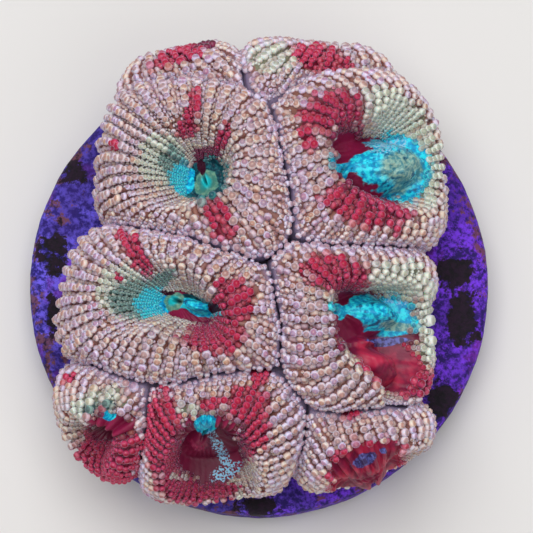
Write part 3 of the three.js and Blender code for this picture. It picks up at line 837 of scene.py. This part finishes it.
def crumbCandidates(shape):  # the smallest beads, scattered, with more of them towards the seams
    starts, distances, arcs, *others = filePaths(shape, 0.5)
    found = []
    for row in random.integers(0, shape["rows"], beads["crumbCount"]):
        reach = arcs[row][-1] * random.uniform() ** beads["crumbGather"]
        turn = starts[row] + random.uniform(-0.5, 0.5) / shape["rows"]
        size = beads["crumbs"] * random.uniform(*beads["crumbChance"])
        found.append([turn, np.interp(reach, arcs[row], distances[row]), size])
    return found


def spacedApart(points, sizes):  # the beads that aren't too close to one before them
    cell = 0.6  # wider than any two beads that can touch
    grid = {}
    kept = []
    for index, (point, size) in enumerate(zip(points, sizes)):
        x, y, z = (int(part // cell) for part in point)
        near = [other for i in (-1, 0, 1) for j in (-1, 0, 1) for k in (-1, 0, 1)
                for other in grid.get((x + i, y + j, z + k), ())]
        if near:
            gaps = np.linalg.norm(points[near] - point, axis=1)
            if (gaps < beads["crowding"] * (sizes[near] + size)).any():
                continue
        grid.setdefault((x, y, z), []).append(index)
        kept.append(index)
    return np.array(kept)


def bubbleTint(name):  # the single big beads are green and no other colour
    if name == "green":
        return 1.0
    return -1.0 if name in tintNames else 0.0


def beadPlaces(shape, settings):
    candidates = []
    for offset, share, swing in beads["files"]:
        candidates += fileCandidates(shape, offset, share, swing)
    candidates += crumbCandidates(shape)
    turn, distance, size = np.array(candidates).T
    points, facts = polypSurface(shape, turn, distance)
    tints = skinTints(points, facts, settings)
    bare = (points[:, 2] < discHigh[2] + beads["overDisc"]) | (facts["fromSeam"] < beads["limit"])
    for name in settings.get("bare", []):
        bare |= tints[name] > beads["bareFrom"]
    turn, distance, size, points = (part[~bare] for part in (turn, distance, size, points))
    kept = spacedApart(points, size)
    turn, distance, size = turn[kept], distance[kept], size[kept]
    points, facts = polypSurface(shape, turn, distance)
    normals = skinNormal(shape, turn, distance)
    points = points + normals * (size * beads["lift"])[:, None]
    tints = skinTints(points, facts, settings)
    for name in tintNames:
        tints[name] += random.uniform(*beads["tintChance"], len(points))
    for x, y, z, radius in settings.get("bubbles", []):
        points = np.vstack([points, [x, y, z]])
        normals = np.vstack([normals, beads["bubbleLean"]])
        size = np.append(size, radius)
        tints = {name: np.append(values, bubbleTint(name)) for name, values in tints.items()}
    tints["tone"] = random.uniform(0, 1, len(points))
    return points, {**tints, "beadNormal": normals, "beadSize": size * mm}


def beadTree(name, material):
    tree = bpy.data.node_groups.new(name, "GeometryNodeTree")
    for label, way, kind in (("Geometry", "INPUT", "Geometry"), ("Bead scale", "INPUT", "Float"),
                             ("Height", "INPUT", "Float"), ("Geometry", "OUTPUT", "Geometry")):
        tree.interface.new_socket(label, in_out=way, socket_type="NodeSocket" + kind)
    graph = Graph(tree)
    entry = tree.nodes.new("NodeGroupInput")
    points, scale, tallness = (Value(graph, entry.outputs[i]) for i in range(3))

    def stored(kind, attribute):
        return graph.node("GeometryNodeInputNamedAttribute", {"data_type": kind}, {"Name": attribute})

    def chance(low, high, seed):
        inputs = {"Min": low, "Max": high, "Seed": seed}
        return graph.node("FunctionNodeRandomValue", {"data_type": "FLOAT"}, inputs, output="Value")

    normal = stored("FLOAT_VECTOR", "beadNormal")
    size = stored("FLOAT", "beadSize") * scale
    turned = graph.node("FunctionNodeAlignRotationToVector", {"axis": "Z"}, {"Vector": normal})
    spin = graph.node("ShaderNodeCombineXYZ", inputs={"Z": chance(0.0, 6.28, 3)})
    spin = graph.node("FunctionNodeEulerToRotation", inputs={"Euler": spin})
    turned = graph.node("FunctionNodeRotateRotation", {"rotation_space": "LOCAL"},
                        {"Rotation": turned, "Rotate By": spin})
    stretched = size * chance(*beads["stretchChance"], 5)
    sizes = graph.node("ShaderNodeCombineXYZ", inputs={"X": stretched, "Y": size, "Z": size * tallness})
    isSmall = graph.node("FunctionNodeCompare", {"data_type": "FLOAT", "operation": "LESS_THAN"},
                         {"A": size, "B": beads["fine"] * mm})
    isLarge = graph.node("FunctionNodeBooleanMath", {"operation": "NOT"}, {0: isSmall})
    place = graph.node("GeometryNodeInputPosition")
    height = graph.node("ShaderNodeSeparateXYZ", inputs={"Vector": place}, output="Z")
    both = tree.nodes.new("GeometryNodeJoinGeometry")
    for chosen, (segments, rings) in zip((isLarge, isSmall), beads["faceCounts"]):
        ball = graph.node("GeometryNodeMeshUVSphere",
                          inputs={"Segments": segments, "Rings": rings, "Radius": 1.0})
        ball = graph.node("GeometryNodeStoreNamedAttribute", {"data_type": "FLOAT", "domain": "POINT"},
                          {"Geometry": ball, "Name": "beadTop", "Value": height})
        ball = graph.node("GeometryNodeSetShadeSmooth", inputs={"Geometry": ball})
        laid = graph.node("GeometryNodeInstanceOnPoints", inputs={
            "Points": points, "Selection": chosen, "Instance": ball, "Rotation": turned, "Scale": sizes})
        tree.links.new(laid.socket, both.inputs[0])
    real = graph.node("GeometryNodeRealizeInstances", inputs={"Geometry": Value(graph, both.outputs[0])})
    done = graph.node("GeometryNodeSetMaterial", inputs={"Geometry": real, "Material": material})
    graph.node("NodeGroupOutput", inputs={"Geometry": done})
    return tree


def beadPiece(name, points, attributes, tree):
    seeds = makeMesh(name + "Points", points, [], None, attributes)
    modifier = seeds.modifiers.new("beads", "NODES")
    modifier.node_group = tree
    sockets = {item.name: item.identifier
               for item in tree.interface.items_tree if item.in_out == "INPUT"}
    modifier[sockets["Bead scale"]] = 1.0
    modifier[sockets["Height"]] = beads["height"]
    depsgraph = bpy.context.evaluated_depsgraph_get()
    mesh = bpy.data.meshes.new_from_object(seeds.evaluated_get(depsgraph))
    mesh.name = name
    for attribute in ("beadNormal", "beadSize"):
        mesh.attributes.remove(mesh.attributes[attribute])
    piece = newObject(name, mesh)
    bpy.data.objects.remove(seeds)
    return piece


core = {  # the dome of shared tissue, seen only down in the seams
    "share": 0.66,  # of the size of the dome outside
    "sunk": 0.3,  # how far its foot reaches into the disc
    "spokes": 120,
    "rings": 48,
}


def coreMaterial():
    material, graph, where = emptyMaterial("seamTissue")
    mottle = graph.smooth(graph.noise(where, 1500.0, 3.0), 0.35, 0.65)
    # painted shade: the shared tissue is painted a deep purple-grey, as the shade down in the seams where
    # it shows
    colour = graph.mix(mottle, paint(58, 34, 58), paint(96, 66, 92))
    graph.surface({"Base Color": colour, "Roughness": 0.5})
    return material


def sharedTissue():
    spokes, rings = core["spokes"], core["rings"]
    turn = np.repeat(np.arange(spokes) / spokes * 2 * math.pi, rings)
    polar = np.tile(np.linspace(wallFoot / rings, wallFoot, rings), spokes)
    places = polar[:, None] * np.stack([np.cos(turn), np.sin(turn)], -1)
    middle = np.array([*dome["centre"], dome["belt"]])
    points = middle + (domePoint(places) - middle) * core["share"]
    foot = discHigh[2] - core["sunk"]
    points[:, 2] = np.maximum(points[:, 2], foot)
    points[rings - 1::rings, 2] = foot
    top = middle + [0, 0, dome["rise"] * core["share"]]
    points = np.vstack([points, top, [*dome["centre"], foot]])
    return makeMesh("shared_tissue", points, closedFan(spokes, rings), coreMaterial(), {})


disc = {
    "radius": (discHigh[0] - discLow[0]) / 2,
    "edge": 0.8,  # radius of its rounded edges
    "spokes": 240,
    "edgeRings": 9,
    "hiddenRings": 10,
    "topRings": 30,
    "sideRings": 12,
    "underRings": 8,
    "underneath": 10,  # radius inside which the top is hidden by the colony
    "sunk": 0.02,  # how far the crust starts inside the disc
    "bumps": [(0.07, 0.55, 0), (0.05, 1.9, 7)],  # height, fineness and place in the noise
    "dark": [[-12.9, 7.8, 1.1, 1.2, 0], [-14.4, 2.5, 0.9, 1.7, 0], [-14.3, -2.0, 0.6, 1.2, 0],
             [13.7, 0.9, 1.1, 1.1, 0], [14.2, -2.5, 1.2, 1.8, 10], [12.5, -8.2, 1.1, 1.6, 0],
             [11.5, 10.5, 1.6, 1.6, 0], [-11, -10, 0.8, 0.8, 0], [0, -15.2, 1.5, 0.8, 0],
             [-2, 15.5, 2, 1, 0]],  # patches of painted shadow on the disc round the colony's edge, as the tints of a polyp
}


def crustMaterial():
    material, graph, where = emptyMaterial("algaeCrust")
    broad = graph.noise(where, 150.0, 4.0, 0.6)
    middle = graph.noise(where, 700.0, 5.0, 0.7)
    fine = graph.noise(where, 2600.0, 4.0, 0.7)
    side = graph.node("ShaderNodeSeparateXYZ", inputs={"Vector": where}, output="X")
    east = graph.smooth(side * 60.0 + (broad - 0.5) * 1.5, -0.3, 0.5)
    grain = graph.smooth(fine * 0.6 + middle * 0.4, 0.43, 0.57)
    violet = graph.mix(grain, paint(38, 26, 122), paint(122, 104, 255))
    magenta = graph.mix(grain, paint(40, 16, 100), paint(128, 60, 245))
    colour = graph.mix(east, violet, magenta)
    pinkish = graph.smooth(graph.noise(where, 420.0, 4.0, 0.6), 0.56, 0.68)
    colour = graph.mix(pinkish * 0.5, colour, paint(140, 44, 190))
    shade = graph.smooth(broad, 0.58, 0.44)
    colour = graph.mix(shade * 0.6, colour, paint(46, 22, 110))
    rust = graph.smooth(middle + graph.attribute("edge") * 0.07 - side * 1.5, 0.58, 0.64)
    colour = graph.mix(rust * 0.85, colour, graph.mix(grain, paint(34, 16, 14), paint(118, 66, 32)))
    # painted shadow: near-black patches on the disc round the foot of the colony
    paintedShadow = graph.attribute("dark") + (middle - 0.5) * 4.0 + (broad - 0.5) * 2.0 - 0.1
    paintedShadow = graph.smooth(paintedShadow, -0.1, 0.16)
    colour = graph.mix(paintedShadow, colour, graph.mix(grain, paint(12, 4, 18), paint(34, 12, 38)))
    bump = graph.node("ShaderNodeBump", inputs={"Height": fine, "Strength": 0.6, "Distance": 0.00025})
    graph.surface({"Base Color": colour, "Roughness": 0.72, "Normal": bump, "Specular IOR Level": 0.3})
    return material


def crustedDisc():
    radius, edge, thick = disc["radius"], disc["edge"], discHigh[2]
    arc = np.linspace(0, math.pi / 2, disc["edgeRings"])
    hidden = np.linspace(0, disc["underneath"], disc["hiddenRings"], endpoint=False)[1:]
    top = np.linspace(disc["underneath"], radius - edge, disc["topRings"], endpoint=False)
    under = np.linspace(radius - edge, 0, disc["underRings"], endpoint=False)[1:]
    topEdge = [(radius - edge + edge * math.sin(a), thick - edge + edge * math.cos(a)) for a in arc]
    bottomEdge = [(radius - edge + edge * math.cos(a), edge - edge * math.sin(a)) for a in arc]
    profile = [(r, thick) for r in (*hidden, *top)] + topEdge
    profile += [(radius, z) for z in np.linspace(thick - edge, edge, disc["sideRings"])[1:-1]]
    profile += bottomEdge + [(r, 0) for r in under]
    rings = len(profile)
    turn = np.repeat(np.arange(disc["spokes"]) / disc["spokes"] * 2 * math.pi, rings)
    reach, height = np.tile(np.array(profile).T, disc["spokes"])
    points = np.stack([reach * np.cos(turn), reach * np.sin(turn), height], -1)
    outward = points - [0, 0, thick / 2]
    outward[:, :2] *= np.clip((reach - (radius - 2 * edge)) / edge, 0, 1)[:, None] / radius
    outward = unit(outward)
    crust = sum(size * wobble(points + shift, fineness) for size, fineness, shift in disc["bumps"])
    crust *= ramp(height, 0.1, 0.9)
    points = points + outward * (crust - disc["sunk"])[:, None] * ramp(height, 0.05, 0.6)[:, None]
    points = np.vstack([points, [[0, 0, thick - 0.1], [0, 0, 0]]])
    dark = np.max([inPatch(points, patch) for patch in disc["dark"]], 0)
    rim = ramp(np.hypot(*points[:, :2].T), radius - 1.2, radius - 0.3)
    tints = {"dark": np.maximum(dark, -1), "edge": rim}
    return makeMesh("crusted_disc", points, closedFan(disc["spokes"], rings), crustMaterial(), tints)


def colonyPiece(piece):
    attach(piece, "root")
    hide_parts("coral_colony")


skin = liningMaterial()
onSkin = beadTree("beadsOnSkin", beadMaterial())
print("materials done")
for polypName, settings in polyps.items():
    shape = polypShape(settings)
    colonyPiece(polypSkin(polypName + "_polyp", shape, settings, skin))
    places, attributes = beadPlaces(shape, settings)
    colonyPiece(beadPiece(polypName + "_beads", places, attributes, onSkin))
    print("polyp", polypName, "rows", shape["rows"], "beads", len(places))
colonyPiece(sharedTissue())
print("shared tissue done")
discPiece = crustedDisc()
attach(discPiece, "root")
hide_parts("frag_disc")
print("disc done")


studio = {  # floor, light and camera, in metres
    "floorColour": (232, 230, 228),
    "floorSize": 1.6,
    "lights": [  # place, size and power
        ((-0.03, 0.08, 0.29), 0.26, 0.72),
        ((0.10, -0.14, 0.26), 0.20, 0.16),
    ],
    "sky": 0.26,
    "cameraPlace": (0.00052, -0.0274, 0.20817),
    "cameraTilt": 8,
    "lens": 200,
}


def floorMaterial():
    material = bpy.data.materials.new("paleFloor")
    material.use_nodes = True
    shader = material.node_tree.nodes["Principled BSDF"]
    shader.inputs["Base Color"].default_value = paint(*studio["floorColour"])
    shader.inputs["Roughness"].default_value = 0.7
    return material


half = studio["floorSize"] / 2
floorMesh = bpy.data.meshes.new("floor")
corners = [(-half, -half, 0), (half, -half, 0), (half, half, 0), (-half, half, 0)]
floorMesh.from_pydata(corners, [], [(0, 1, 2, 3)])
floorMesh.materials.append(floorMaterial())
floor = newObject("floor", floorMesh)

for number, (place, size, power) in enumerate(studio["lights"]):
    light = bpy.data.lights.new(f"softbox{number}", "AREA")
    light.size = size
    light.energy = power
    lamp = newObject(light.name, light)
    lamp.location = place
    lamp.rotation_euler = (-Vector(place)).to_track_quat("-Z", "Y").to_euler()

world = bpy.data.worlds.new("studio")
world.use_nodes = True
sky = world.node_tree.nodes["Background"]
sky.inputs["Color"].default_value = (1, 1, 1, 1)
sky.inputs["Strength"].default_value = studio["sky"]
bpy.context.scene.world = world
bpy.context.scene.view_settings.view_transform = "Standard"

lensData = bpy.data.cameras.new("camera")
lensData.lens = studio["lens"]
lensData.sensor_width = 36
camera = newObject("camera", lensData)
camera.location = studio["cameraPlace"]
camera.rotation_euler = (math.radians(studio["cameraTilt"]), 0, 0)
bpy.context.scene.camera = camera
print("studio done")
